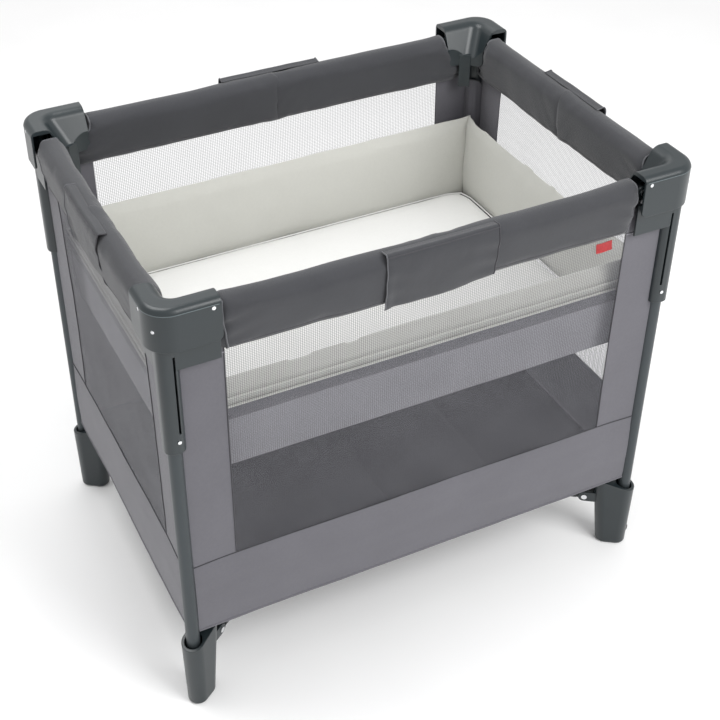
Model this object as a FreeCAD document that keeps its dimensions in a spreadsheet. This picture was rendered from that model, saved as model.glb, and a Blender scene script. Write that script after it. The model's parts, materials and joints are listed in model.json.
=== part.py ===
import FreeCAD, Part
import math
import os

import Sketcher

# Travel play yard with a raised bassinet insert.
#
# Frame: millimetres, +Z up, origin on the floor below the middle of the yard.
# +X runs along the long side, -Y is the front.
#
# The frame is a four-post folding linkage. Each corner post carries the outer ends of two
# half rails, which meet in a hinge housing at the middle of each side, and the foot end of one
# base link, whose other end is on the central hub. All half rails and base links lie level in
# the open yard and turn through the same angle as it folds, so that the four posts close up
# into one upright bundle. That needs two closing rules, which the sizes below keep: a base link
# is the diagonal of the two half rails, and along each side the pivot offsets of corner and
# hinge add up to those of foot and hub. The two half rails keep the proportion of the plan, so
# that foot, base link and hub lie in one line.


doc = FreeCAD.newDocument("play_yard")
sheet = doc.addObject("Spreadsheet::Sheet", "Sizes")
pieces = {}


class Size:
    """A length: its number now, and the expression over the sheet's cells that gives it."""

    def __init__(self, number, text=None):
        self.number = float(number)
        self.text = text if text else f"{self.number:.9g}"

    def combined(self, other, sign, number):
        return Size(number, f"({self.text} {sign} {other.text})")

    def __add__(self, other):
        other = as_size(other)
        return self.combined(other, "+", self.number + other.number)

    def __sub__(self, other):
        other = as_size(other)
        return self.combined(other, "-", self.number - other.number)

    def __mul__(self, other):
        other = as_size(other)
        return self.combined(other, "*", self.number * other.number)

    def __truediv__(self, other):
        other = as_size(other)
        return self.combined(other, "/", self.number / other.number)

    def __neg__(self):
        return Size(-self.number, f"(-1 * {self.text})")

    def __rsub__(self, other):
        return as_size(other) - self

    __radd__ = __add__
    __rmul__ = __mul__


def as_size(value):
    return value if isinstance(value, Size) else Size(value)


def dimension(name, number):
    """Adds a named cell to the sheet, and returns it as a Size."""
    dimension.row += 1
    sheet.set(f"A{dimension.row}", name)
    sheet.set(f"B{dimension.row}", str(number))
    sheet.setAlias(f"B{dimension.row}", name)
    return Size(number, f"Sizes.{name}")


dimension.row = 0

# ---------------------------------------------------------------- driving dimensions

overall_length = dimension("overall_length", 1030)
overall_width = dimension("overall_width", 736)
overall_height = dimension("overall_height", 935)
post_inset = dimension("post_inset", 31)

long_link = dimension("long_link", 375)
long_hinge_offset = dimension("long_hinge_offset", 34)
short_hinge_offset = dimension("short_hinge_offset", 24)
hub_pivot_radius = dimension("hub_pivot_radius", 55)
rail_height = dimension("rail_height", 895)
base_height = dimension("base_height", 120)

rail_radius = dimension("rail_radius", 12)
link_radius = dimension("link_radius", 10)
tube_wall = dimension("tube_wall", 1.4)
tube_setback = dimension("tube_setback", 16)
tongue_thickness = dimension("tongue_thickness", 12)
rail_tongue_height = dimension("rail_tongue_height", 19)
link_tongue_height = dimension("link_tongue_height", 14)
ear_gap = dimension("ear_gap", 0.6)
ear_thickness = dimension("ear_thickness", 4)
ear_radius = dimension("ear_radius", 12)
pin_radius = dimension("pin_radius", 4)
running_gap = dimension("running_gap", 0.05)

leg_radius = dimension("leg_radius", 13)
leg_wall = dimension("leg_wall", 1.5)
leg_bottom = dimension("leg_bottom", 60)
sleeve_width = dimension("sleeve_width", 38)
sleeve_corner = dimension("sleeve_corner", 16)
sleeve_bottom = dimension("sleeve_bottom", 640)
sleeve_top = dimension("sleeve_top", 902)
slit_bottom = dimension("slit_bottom", 680)
slit_top = dimension("slit_top", 838)
slit_width = dimension("slit_width", 4)
apron_bottom = dimension("apron_bottom", 811)
apron_thickness = dimension("apron_thickness", 4)

casting_long_arm = dimension("casting_long_arm", 119)
casting_short_arm = dimension("casting_short_arm", 92)
casting_depth = dimension("casting_depth", 56)
casting_bottom = dimension("casting_bottom", 855)
casting_wall = dimension("casting_wall", 4)
casting_roof = dimension("casting_roof", 9)
casting_corner = dimension("casting_corner", 46)
casting_lip = dimension("casting_lip", 12)
casting_end = dimension("casting_end", 12)
casting_crest = dimension("casting_crest", 20)
casting_slope_gap = dimension("casting_slope_gap", 22)
casting_valley = dimension("casting_valley", 22)
shield_radius = dimension("shield_radius", 66)
tongue_plate_width = dimension("tongue_plate_width", 24)
tongue_plate_bottom = dimension("tongue_plate_bottom", 806)
tongue_plate_drop = dimension("tongue_plate_drop", 56)

foot_thickness = dimension("foot_thickness", 46)
foot_length = dimension("foot_length", 86)
foot_base_length = dimension("foot_base_length", 62)
foot_base_thickness = dimension("foot_base_thickness", 40)
foot_outer_top = dimension("foot_outer_top", 152)
foot_inner_top = dimension("foot_inner_top", 177)
foot_edge = dimension("foot_edge", 6)
roller_radius = dimension("roller_radius", 20)
roller_width = dimension("roller_width", 12)
roller_height = dimension("roller_height", 27)
roller_outset = dimension("roller_outset", 5)

cover_bottom = dimension("cover_bottom", 810)
cover_top = dimension("cover_top", 922)
cover_thickness = dimension("cover_thickness", 44)
cover_cloth = dimension("cover_cloth", 5)
panel_cloth = dimension("panel_cloth", 4)
hem_height = dimension("hem_height", 187)
floor_height = dimension("floor_height", 190)
floor_cloth = dimension("floor_cloth", 5)

insert_rim = dimension("insert_rim", 740)
insert_base = dimension("insert_base", 530)
insert_rim_length = dimension("insert_rim_length", 922)
insert_rim_width = dimension("insert_rim_width", 632)
insert_base_length = dimension("insert_base_length", 900)
insert_base_width = dimension("insert_base_width", 606)
insert_wall = dimension("insert_wall", 8)
insert_board = dimension("insert_board", 4)
mattress_length = dimension("mattress_length", 872)
mattress_width = dimension("mattress_width", 578)
mattress_thickness = dimension("mattress_thickness", 25)
mattress_corner = dimension("mattress_corner", 40)

# ---------------------------------------------------------------- derived places

post_x = overall_length / 2 - post_inset
post_y = overall_width / 2 - post_inset
short_link = long_link * post_y / post_x
long_pivot_x = long_link + long_hinge_offset
short_pivot_y = short_link + short_hinge_offset
tongue_half = tongue_thickness / 2
ear_inner = tongue_half + ear_gap
ear_outer = ear_inner + ear_thickness
link_length = math.hypot(long_link.number, short_link.number)
link_x = long_link.number / link_length
link_y = short_link.number / link_length
link_angle = math.degrees(math.atan2(link_y, link_x))
hub_x = hub_pivot_radius * link_x
hub_y = hub_pivot_radius * link_y
foot_pivot_x = long_link + hub_x
foot_pivot_y = short_link + hub_y
foot_reach = math.hypot(
    post_x.number - foot_pivot_x.number, post_y.number - foot_pivot_y.number
)

# ---------------------------------------------------------------- building helpers


def locate(item, x=0, y=0, z=0, turn=None):
    """Binds where an object stands. turn is its rotation."""
    if turn is not None:
        item.Placement = FreeCAD.Placement(FreeCAD.Vector(), turn)
    for axis, place in zip("xyz", (x, y, z)):
        item.setExpression(f"Placement.Base.{axis}", as_size(place).text)
    return item


def about(axis, degrees):
    return FreeCAD.Rotation(FreeCAD.Vector(*axis), degrees)


ALONG = {"X": about((0, 1, 0), 90), "Y": about((1, 0, 0), -90), "Z": about((0, 0, 1), 0)}


def box(name, low, spans):
    """A block from its lowest corner, with its three lengths."""
    item = doc.addObject("Part::Box", name)
    for key, span in zip(("Length", "Width", "Height"), spans):
        item.setExpression(key, as_size(span).text)
    return locate(item, *low)


def rod(name, radius, length, start, along="Z"):
    """A round bar from the middle of one end, along X, Y or Z."""
    item = doc.addObject("Part::Cylinder", name)
    item.setExpression("Radius", as_size(radius).text)
    item.setExpression("Height", as_size(length).text)
    return locate(item, *start, turn=ALONG[along])


def fuse(name, items):
    item = doc.addObject("Part::MultiFuse", name)
    item.Shapes = items
    return item


def cut(name, base, tools):
    item = doc.addObject("Part::Cut", name)
    item.Base = base
    item.Tool = tools[0] if len(tools) == 1 else fuse(f"{name}_tools", tools)
    return item


def common(name, items):
    item = doc.addObject("Part::MultiCommon", name)
    item.Shapes = items
    return item


def group(name, items):
    item = doc.addObject("Part::Compound", name)
    item.Links = items
    return item


def finished(label, item):
    """Names a sub-part, which is then written to its own file."""
    item.Label = label
    pieces[label] = item
    return item


def mirrored(label, source, normal):
    """The source as a mirror across the middle of the yard shows it."""
    item = doc.addObject("Part::Mirroring", label)
    item.Source = source
    item.Normal = FreeCAD.Vector(*normal)
    return finished(label, item)


ACROSS_X, ACROSS_Y = (1, 0, 0), (0, 1, 0)


def at_four_corners(stem, source):
    """The sub-part at the front left corner and its mirror images at the other three."""
    finished(f"{stem}_front_left", source)
    right = mirrored(f"{stem}_front_right", source, ACROSS_X)
    mirrored(f"{stem}_back_left", source, ACROSS_Y)
    mirrored(f"{stem}_back_right", right, ACROSS_Y)


def rounded(name, base, radius, wanted):
    """The base with the edges that wanted accepts rounded off."""
    doc.recompute()
    item = doc.addObject("Part::Fillet", name)
    item.Base = base
    item.Edges = [
        (number, radius.number, radius.number)
        for number, edge in enumerate(base.Shape.Edges, 1)
        if wanted(edge)
    ]
    return item


def is_upright(edge):
    ends = [v.Point for v in edge.Vertexes]
    return (
        len(ends) == 2
        and abs(ends[0].x - ends[1].x) < 0.01
        and abs(ends[0].y - ends[1].y) < 0.01
    )


def is_valley(edge):
    """Whether an edge runs down toward the middle of the yard as fast along X as along Y."""
    run = edge.Vertexes[-1].Point - edge.Vertexes[0].Point
    return abs(abs(run.x) - abs(run.y)) < 0.01 and abs(run.x) > 1 and abs(run.z) > 1


def lies_at(edge, height):
    return all(abs(v.Point.z - height.number) < 0.01 for v in edge.Vertexes)


def sketch_on_floor(body, name, height):
    """An empty sketch in the body's own XY plane, raised to a height."""
    sketch = body.newObject("Sketcher::SketchObject", name)
    plane = next(f for f in body.Origin.OriginFeatures if f.Role == "XY_Plane")
    sketch.AttachmentSupport = [(plane, "")]
    sketch.MapMode = "FlatFace"
    sketch.setExpression("AttachmentOffset.Base.z", as_size(height).text)
    return sketch


def draw_polygon(sketch, corners):
    """A closed outline whose corners follow their Sizes."""
    points = [FreeCAD.Vector(x.number, y.number, 0) for x, y in corners]
    count = len(points)
    for n in range(count):
        sketch.addGeometry(Part.LineSegment(points[n], points[(n + 1) % count]), False)
    for n in range(count):
        sketch.addConstraint(Sketcher.Constraint("Coincident", n, 2, (n + 1) % count, 1))
    for n, corner in enumerate(corners):
        for kind, size in zip(("DistanceX", "DistanceY"), corner):
            index = sketch.addConstraint(
                Sketcher.Constraint(kind, -1, 1, n, 1, size.number)
            )
            sketch.setExpression(f"Constraints[{index}]", size.text)


def feature(body, kind, name, profile, **lengths):
    """A feature of a body whose named lengths follow their Sizes."""
    item = body.newObject(f"PartDesign::{kind}", name)
    item.Profile = profile
    for key, size in lengths.items():
        item.setExpression(key, as_size(size).text)
    return item


def rounded_feature(body, name, base, radius, wanted):
    """A PartDesign fillet over the base's edges that wanted accepts."""
    doc.recompute()
    item = body.newObject("PartDesign::Fillet", name)
    names = [f"Edge{n}" for n, edge in enumerate(base.Shape.Edges, 1) if wanted(edge)]
    item.Base = (base, names)
    item.setExpression("Radius", as_size(radius).text)
    return item


# ---------------------------------------------------------------- linkage pieces
# Each is made about its own pivot, with the mating bar leaving along +X and the pin along Y.


def pin_hole(name, x=0):
    length = ear_outer * 2 + 20
    return rod(name, pin_radius + running_gap, length, (x, -length / 2, 0), "Y")


def bar(name, length, radius, tongue_height):
    """A tube with a flat pierced tongue in each end, from one pivot to the next."""
    run = length - tube_setback * 2
    tube = rod(f"{name}_tube", radius, run, (tube_setback, 0, 0), "X")
    bore = rod(
        f"{name}_bore", radius - tube_wall, run + 2, (tube_setback - 1, 0, 0), "X"
    )
    grip = tube_setback + 14
    tongues = [
        box(
            f"{name}_tongue",
            (start, -tongue_half, -tongue_height / 2),
            (grip, tongue_thickness, tongue_height),
        )
        for start in (as_size(0), length - grip)
    ]
    eyes = [
        rod(f"{name}_eye", tongue_height / 2, tongue_thickness, (x, -tongue_half, 0), "Y")
        for x in (as_size(0), length)
    ]
    hollow = cut(f"{name}_hollow", tube, [bore])
    solid = fuse(f"{name}_solid", [hollow, *tongues, *eyes])
    holes = [pin_hole(f"{name}_hole"), pin_hole(f"{name}_hole", length)]
    return cut(name, solid, holes)


def ears(name, reach):
    """Two pierced ears that hold a bar's tongue, reaching back from the pivot."""
    made = []
    for side in (-1, 1):
        low = ear_inner if side > 0 else -ear_outer
        spans = (reach, ear_thickness, ear_radius * 2)
        plate = box(f"{name}_ear", (-reach, low, -ear_radius), spans)
        end = rod(f"{name}_ear_end", ear_radius, ear_thickness, (0, low, 0), "Y")
        made += [plate, end]
    return made


def pin(name):
    """A headed pivot pin through a pair of ears."""
    half = ear_outer + 0.2
    shank = rod(f"{name}_shank", pin_radius, half * 2, (0, -half, 0), "Y")
    heads = [
        rod(f"{name}_head", pin_radius + 2, 1.8, (0, start, 0), "Y")
        for start in (half, -half - 1.8)
    ]
    return fuse(name, [shank, *heads])


def turned(name, item, x, y, z, degrees):
    """The item, made about the origin, turned about Z and set at its pivot."""
    placed = group(name, [item])
    return locate(placed, x, y, z, turn=about((0, 0, 1), degrees))


# ---------------------------------------------------------------- corner castings


slope_angle = 65
screw_radius = 3.4
screw_depth = 1.6
screw_sink = 0.2
screw_drop = 16
front_screw_place = (-long_pivot_x, -overall_width / 2, overall_height - screw_drop)
side_screw_place = (
    -overall_length / 2,
    -overall_width / 2 + casting_corner + 5,
    overall_height - screw_drop,
)


def bevelled_space(name, gap):
    """The space above the slopes that lean over the ends of both rails, gap from their lines."""
    reach = 400
    tall = 200
    slopes = []
    for kind, axis, degrees in (("long", (1, 0, 0), -slope_angle), ("short", (0, 1, 0), slope_angle)):
        block = box(f"{name}_{kind}", (-reach / 2, -reach / 2, gap), (reach, reach, tall))
        placed = group(f"{name}_{kind}_set", [block])
        slopes.append(
            locate(placed, -post_x, -post_y, rail_height, turn=about(axis, degrees))
        )
    return common(name, slopes)


def corner_casting():
    """The L-shaped cover over a corner: a lip outside, and a face that slopes down inside."""
    body = doc.addObject("PartDesign::Body", "corner_casting")
    left = -overall_length / 2
    front = -overall_width / 2
    arm_x = left + casting_long_arm
    arm_y = front + casting_short_arm
    depth_x = left + casting_depth
    depth_y = front + casting_depth
    outline = sketch_on_floor(body, "casting_outline", casting_bottom)
    draw_polygon(
        outline,
        [(left, front), (arm_x, front), (arm_x, depth_y), (depth_x, arm_y), (left, arm_y)],
    )
    block = feature(body, "Pad", "casting_block", outline, Length=overall_height - casting_bottom)
    corner = rounded_feature(
        body,
        "casting_round_corner",
        block,
        casting_corner,
        lambda e: is_upright(e)
        and e.CenterOfMass.x < left.number + 1
        and e.CenterOfMass.y < front.number + 1,
    )
    # the top edges whose middle lies this near an outer face are the outside ones
    outside = casting_corner.number / 2
    lip = rounded_feature(
        body,
        "casting_lip_round",
        corner,
        casting_lip,
        lambda e: lies_at(e, overall_height)
        and (e.CenterOfMass.x < left.number + outside or e.CenterOfMass.y < front.number + outside),
    )
    rounded_feature(
        body,
        "casting_end_round",
        lip,
        casting_end,
        lambda e: lies_at(e, casting_bottom)
        and (e.CenterOfMass.x > arm_x.number - 1 or e.CenterOfMass.y > arm_y.number - 1),
    )
    inner_x = left + casting_wall
    inner_y = front + casting_wall
    channel_width = casting_depth - casting_wall * 2
    channel_low = casting_bottom - 1
    channel_height = overall_height - casting_roof - channel_low
    channels = fuse(
        "casting_channels",
        [
            box(
                "long_channel",
                (inner_x, inner_y, channel_low),
                (casting_long_arm, channel_width, channel_height),
            ),
            box(
                "short_channel",
                (inner_x, inner_y, channel_low),
                (channel_width, casting_short_arm, channel_height),
            ),
        ],
    )
    channels = rounded(
        "casting_channels_round",
        channels,
        casting_corner - casting_wall,
        lambda e: is_upright(e)
        and abs(e.CenterOfMass.x - inner_x.number) < 0.5
        and abs(e.CenterOfMass.y - inner_y.number) < 0.5,
    )
    low_space = bevelled_space("channel_slopes", casting_slope_gap - casting_wall)
    channels = cut("casting_sloped_channels", channels, [low_space])
    open_space = bevelled_space("casting_slopes", casting_slope_gap)
    open_space = rounded("casting_slopes_round", open_space, casting_valley, is_valley)
    # the inner face is scooped out between the ends of the two arms
    chord_x = (casting_long_arm - casting_depth).number
    chord_y = (casting_short_arm - casting_depth).number
    chord = math.hypot(chord_x, chord_y)
    away = math.sqrt(shield_radius.number**2 - (chord / 2) ** 2)
    middle_x = (arm_x + depth_x) / 2
    middle_y = (arm_y + depth_y) / 2
    toward_x = chord_y / chord
    toward_y = chord_x / chord
    scoop = rod(
        "casting_scoop",
        shield_radius,
        overall_height,
        (middle_x + away * toward_x, middle_y + away * toward_y, casting_bottom - 100),
    )
    recesses = [
        rod("front_recess", screw_radius + 0.5, screw_depth, front_screw_place, "Y"),
        rod("side_recess", screw_radius + 0.5, screw_depth, side_screw_place, "X"),
    ]
    hollow = cut("casting_hollow", body, [channels, open_space, scoop, *recesses])
    # the top edges far from both outer faces form the crest above the slopes
    inside = casting_depth.number / 2
    hollow = rounded(
        "casting_crest_round",
        hollow,
        casting_crest,
        lambda e: lies_at(e, overall_height)
        and e.CenterOfMass.x > left.number + inside
        and e.CenterOfMass.y > front.number + inside,
    )
    # a tongue plate hangs from the inner face into the cloth sleeve of the post
    sag = shield_radius.number - away
    plate_thickness = 7
    plate_inset = 5
    plate_tall = overall_height - tongue_plate_drop - tongue_plate_bottom
    plate = box(
        "casting_tongue_plate",
        (0, 0, 0),
        (plate_thickness, tongue_plate_width, plate_tall),
    )
    angle = math.degrees(math.atan2(toward_y, toward_x))
    across = tongue_plate_width.number / 2
    back = -sag - plate_inset
    locate(
        plate,
        middle_x + back * toward_x + across * toward_y,
        middle_y + back * toward_y - across * toward_x,
        tongue_plate_bottom,
        turn=about((0, 0, 1), angle),
    )
    return fuse("casting_with_tongue", [hollow, plate])


# ---------------------------------------------------------------- corner bracket and post


def corner_bracket():
    """The sleeve round the top of the post, with ears for both rails and a short apron."""
    half = sleeve_width / 2
    tall = sleeve_top - sleeve_bottom
    shell = box(
        "sleeve_block",
        (-post_x - half, -post_y - half, sleeve_bottom),
        (sleeve_width, sleeve_width, tall),
    )
    shell = rounded("sleeve_round", shell, sleeve_corner, is_upright)
    ears_long = fuse("ears_long", ears("long", long_pivot_x * -1 + post_x - 6))
    ears_short = fuse("ears_short", ears("short", short_pivot_y * -1 + post_y - 6))
    long_side = turned("bracket_long", ears_long, -long_pivot_x, -post_y, rail_height, 0)
    short_side = turned("bracket_short", ears_short, -post_x, -short_pivot_y, rail_height, 90)
    apron_height = casting_bottom + 20 - apron_bottom
    apron_end = long_pivot_x - ear_radius
    apron = box(
        "apron_front",
        (-post_x + 4, -post_y - half + 0.5, apron_bottom),
        (post_x - apron_end - 4, apron_thickness, apron_height),
    )
    side_end = short_pivot_y - ear_radius
    apron_side = box(
        "apron_side",
        (-post_x - half + 0.5, -post_y + 4, apron_bottom),
        (apron_thickness, post_y - side_end - 4, apron_height),
    )
    solid = fuse("bracket_solid", [shell, long_side, short_side, apron, apron_side])
    bore = rod("sleeve_bore", leg_radius + 0.2, tall + 2, (-post_x, -post_y, sleeve_bottom - 1))
    slit = box(
        "sleeve_slit",
        (-post_x + 5, -post_y - half - 1, slit_bottom),
        (slit_width, half, slit_top - slit_bottom),
    )
    hole_long = turned(
        "hole_long", pin_hole("bracket_hole"), -long_pivot_x, -post_y, rail_height, 0
    )
    hole_short = turned(
        "hole_short", pin_hole("bracket_hole"), -post_x, -short_pivot_y, rail_height, 90
    )
    return cut("bracket", solid, [bore, slit, hole_long, hole_short])


def leg_tube():
    tall = sleeve_top - 4 - leg_bottom
    outer = rod("leg_outer", leg_radius, tall, (-post_x, -post_y, leg_bottom))
    inner = rod("leg_inner", leg_radius - leg_wall, tall + 2, (-post_x, -post_y, leg_bottom - 1))
    return cut("leg", outer, [inner])


def corner_fasteners():
    """Cover screws, the sleeve's rivet and the pivot pins that stay with the post."""
    head = screw_depth - screw_sink
    front_x, front_y, screw_z = front_screw_place
    side_x, side_y, screw_z = side_screw_place
    front_screw = rod(
        "front_screw", screw_radius, head, (front_x, front_y + screw_sink, screw_z), "Y"
    )
    side_screw = rod(
        "side_screw", screw_radius, head, (side_x + screw_sink, side_y, screw_z), "X"
    )
    rivet_head = 2
    rivet_place = (-post_x + 4, -post_y - sleeve_width / 2 - rivet_head, slit_bottom - 15)
    rivet = rod("sleeve_rivet", screw_radius, rivet_head, rivet_place, "Y")
    long_pin = turned(
        "long_pin", pin("long_pin_solid"), -long_pivot_x, -post_y, rail_height, 0
    )
    short_pin = turned(
        "short_pin", pin("short_pin_solid"), -post_x, -short_pivot_y, rail_height, 90
    )
    foot_pin = turned(
        "foot_pin",
        pin("foot_pin_solid"),
        -foot_pivot_x,
        -foot_pivot_y,
        base_height,
        link_angle,
    )
    return [front_screw, side_screw, rivet, long_pin, short_pin, foot_pin]


# ---------------------------------------------------------------- feet
# A foot is a blade that points at the hub. It is made about the post's axis with +X inward.


def stadium(name, length, thickness, height):
    """A flat outline with round ends, whose outer end is centred on the post."""
    radius = thickness / 2
    reach = length - thickness
    r, far = radius.number, reach.number
    upward = FreeCAD.Vector(0, 0, 1)
    sketch = doc.addObject("Sketcher::SketchObject", name)
    near_end = Part.Circle(FreeCAD.Vector(0, 0, 0), upward, r)
    far_end = Part.Circle(FreeCAD.Vector(far, 0, 0), upward, r)
    quarter = math.pi / 2
    sketch.addGeometry(Part.ArcOfCircle(near_end, quarter, 3 * quarter), False)
    sketch.addGeometry(
        Part.LineSegment(FreeCAD.Vector(0, -r, 0), FreeCAD.Vector(far, -r, 0)), False
    )
    sketch.addGeometry(Part.ArcOfCircle(far_end, -quarter, quarter), False)
    sketch.addGeometry(
        Part.LineSegment(FreeCAD.Vector(far, r, 0), FreeCAD.Vector(0, r, 0)), False
    )
    for n in range(4):
        sketch.addConstraint(Sketcher.Constraint("Tangent", n, 2, (n + 1) % 4, 1))
    sketch.addConstraint(Sketcher.Constraint("Coincident", 0, 3, -1, 1))
    sketch.addConstraint(Sketcher.Constraint("PointOnObject", 2, 3, -1))
    sketch.addConstraint(Sketcher.Constraint("Horizontal", 1))
    width = sketch.addConstraint(Sketcher.Constraint("Radius", 0, r))
    sketch.setExpression(f"Constraints[{width}]", radius.text)
    spacing = sketch.addConstraint(Sketcher.Constraint("DistanceX", -1, 1, 2, 3, far))
    sketch.setExpression(f"Constraints[{spacing}]", reach.text)
    return locate(sketch, 0, 0, height)


def foot():
    """A tapered shoe with a socket for the leg tube and ears for the base link."""
    loft = doc.addObject("Part::Loft", "foot_blade")
    loft.Sections = [
        stadium("foot_base_outline", foot_base_length, foot_base_thickness, as_size(0)),
        stadium("foot_top_outline", foot_length, foot_thickness, foot_inner_top),
    ]
    loft.Solid = True
    blade = rounded("foot_soft_base", loft, foot_edge, lambda e: lies_at(e, as_size(0)))
    # the top falls away from the inner end to the lower lip round the leg
    slope = math.degrees(
        math.atan2((foot_inner_top - foot_outer_top).number, foot_length.number)
    )
    above = box("foot_above", (0, -60, 0), (200, 120, 80))
    locate(above, -foot_thickness / 2 - 10, -60, foot_outer_top, turn=about((0, 1, 0), -slope))
    arm = box(
        "foot_arm",
        (foot_length - foot_thickness, -ear_outer, base_height - ear_radius),
        (foot_reach - tube_setback - foot_length + foot_thickness, ear_outer * 2, ear_radius * 2),
    )
    ear_pair = fuse("foot_ear_pair", ears("foot", 26))
    foot_ears = turned("foot_ears", ear_pair, foot_reach, 0, base_height, 0)
    socket = rod("foot_socket", leg_radius + 0.2, overall_height, (0, 0, leg_bottom))
    cup = rod("foot_cup", leg_radius + 4, overall_height, (0, 0, foot_outer_top - 16))
    hole = turned("foot_hole", pin_hole("foot_pin_hole"), foot_reach, 0, base_height, 0)
    solid = fuse("foot_solid", [cut("foot_trimmed", blade, [above]), arm, foot_ears])
    return cut("foot_made", solid, [socket, cup, hole])


# ---------------------------------------------------------------- rail hinges


def rail_hinge(name, offset):
    """A channel, open at the top and both ends, that holds the tongues of two half rails."""
    core_half = 12
    half_width = 15
    floor_low = 16
    floor_high = 11
    floor_half = offset + 6
    floor_plate = box(
        f"{name}_floor",
        (-floor_half, -half_width, -floor_low),
        (floor_half * 2, half_width * 2, floor_low - floor_high),
    )
    core = box(
        f"{name}_core",
        (-core_half, -half_width, -floor_low),
        (core_half * 2, half_width * 2, floor_low + ear_radius),
    )
    right = turned(f"{name}_right", fuse(f"{name}_ears", ears(name, offset)), offset, 0, 0, 0)
    left = turned(f"{name}_left", fuse(f"{name}_ears", ears(name, offset)), -offset, 0, 0, 180)
    well = rod(f"{name}_well", 8, floor_low - 1, (0, 0, -floor_low - 1))
    holes = [pin_hole(f"{name}_hole", offset), pin_hole(f"{name}_hole", -offset)]
    solid = fuse(f"{name}_solid", [floor_plate, core, right, left])
    return cut(name, solid, [well, *holes])


def hinge_pins(name, offset):
    return group(
        name,
        [turned(f"{name}_at", pin(f"{name}_pin"), x, 0, 0, 0) for x in (offset, -offset)],
    )


def release_button(name):
    """A push button with a wider thumb face, in the well under the hinge."""
    stem = rod(f"{name}_stem", 7.6, 15, (0, 0, -22))
    face = rod(f"{name}_face", 10, 3, (0, 0, -25))
    return rounded(
        name,
        fuse(f"{name}_solid", [stem, face]),
        as_size(1),
        lambda e: lies_at(e, as_size(-25)),
    )


# ---------------------------------------------------------------- hub

hub_disc_radius = 50
hub_disc_low = 12.5
hub_disc_high = 26
handle_stem_x = 34
handle_stem_radius = 5


def hub():
    """A disc on a central foot, with a pair of ears under it for each base link."""
    disc_thickness = hub_disc_high - hub_disc_low
    disc = rod("hub_disc", hub_disc_radius, disc_thickness, (0, 0, base_height + hub_disc_low))
    column = rod("hub_column", 22, base_height + hub_disc_low, (0, 0, 0))
    pad = rod("hub_pad", 30, 14, (0, 0, 0))
    parts = [disc, column, pad]
    holes = []
    for side_x, side_y in ((-1, -1), (1, -1), (-1, 1), (1, 1)):
        angle = math.degrees(math.atan2(side_y * link_y, side_x * link_x))
        x, y = hub_x * side_x, hub_y * side_y
        pair = fuse("hub_ear_pair", ears("hub", hub_pivot_radius - 12))
        parts.append(turned("hub_ears", pair, x, y, base_height, angle))
        holes.append(turned("hub_hole", pin_hole("hub_pin_hole"), x, y, base_height, angle))
    for side in (-1, 1):
        start = (handle_stem_x * side, 0, base_height + hub_disc_low - 10)
        holes.append(rod("hub_handle_hole", handle_stem_radius + running_gap, 40, start))
    return cut("hub_made", fuse("hub_solid", parts), holes)


def hub_pins():
    made = []
    for side_x, side_y in ((-1, -1), (1, -1), (-1, 1), (1, 1)):
        angle = math.degrees(math.atan2(side_y * link_y, side_x * link_x))
        x, y = hub_x * side_x, hub_y * side_y
        made.append(turned("hub_pin", pin("hub_pin_solid"), x, y, base_height, angle))
    return group("hub_pin_group", made)


def hub_handle():
    """The pull handle: a grip on two stems that slide through the hub's disc."""
    disc_top = base_height + hub_disc_high
    disc_low = base_height + hub_disc_low
    grip = box("handle_grip", (-46, -8, disc_top + 13), (92, 16, 9))
    grip = rounded("handle_grip_round", grip, as_size(3.5), lambda e: not is_upright(e))
    parts = [grip]
    stop_low = disc_low - 24
    for side in (-1, 1):
        x = handle_stem_x * side
        stem_length = disc_top + 16 - stop_low
        parts.append(rod("handle_stem", handle_stem_radius, stem_length, (x, 0, stop_low)))
        parts.append(rod("handle_collar", 7.5, 3, (x, 0, disc_top + 0.3)))
        parts.append(rod("handle_stop", 7, 3, (x, 0, stop_low)))
    return fuse("handle_made", parts)


# ---------------------------------------------------------------- soft goods


def rail_cover(name, half_length):
    """The padded cover that hangs over a rail and is open below."""
    half = cover_thickness / 2
    tall = cover_top - cover_bottom
    spans = (half_length * 2, half * 2, tall)
    outer = box(f"{name}_outer", (-half_length, -half, cover_bottom), spans)
    outer = rounded(
        f"{name}_round",
        outer,
        as_size(14),
        lambda e: lies_at(e, cover_top)
        and abs(e.Vertexes[0].Point.x - e.Vertexes[-1].Point.x) > 1,
    )
    inner = box(
        f"{name}_inner",
        (-half_length - 1, -half + cover_cloth, cover_bottom - 1),
        (half_length * 2 + 2, half * 2 - cover_cloth * 2, tall - cover_cloth + 1),
    )
    return cut(name, outer, [inner])


def frustum(name, low, high, base_length, base_width, top_length, top_width):
    """A four-sided block that widens from its base to its top."""
    item = doc.addObject("Part::Wedge", name)
    bounds = {
        "Xmin": -base_length / 2,
        "Xmax": base_length / 2,
        "Zmin": -base_width / 2,
        "Zmax": base_width / 2,
        "X2min": -top_length / 2,
        "X2max": top_length / 2,
        "Z2min": -top_width / 2,
        "Z2max": top_width / 2,
        "Ymin": as_size(low),
        "Ymax": as_size(high),
    }
    for key, size in bounds.items():
        item.setExpression(key, as_size(size).text)
    item.Placement = FreeCAD.Placement(FreeCAD.Vector(), about((1, 0, 0), 90))
    return item


def insert():
    """The hanging bassinet tub: four sloping padded walls on a flat board."""
    thick = insert_wall * 2
    outer = frustum(
        "insert_outer",
        insert_base,
        insert_rim,
        insert_base_length,
        insert_base_width,
        insert_rim_length,
        insert_rim_width,
    )
    inner = frustum(
        "insert_inner",
        insert_base + insert_board,
        insert_rim + 1,
        insert_base_length - thick,
        insert_base_width - thick,
        insert_rim_length - thick,
        insert_rim_width - thick,
    )
    return cut("insert_made", outer, [inner])


def mattress():
    low = insert_base + insert_board + 0.5
    block = box(
        "mattress_block",
        (-mattress_length / 2, -mattress_width / 2, low),
        (mattress_length, mattress_width, mattress_thickness),
    )
    return rounded("mattress_made", block, mattress_corner, is_upright)


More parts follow.
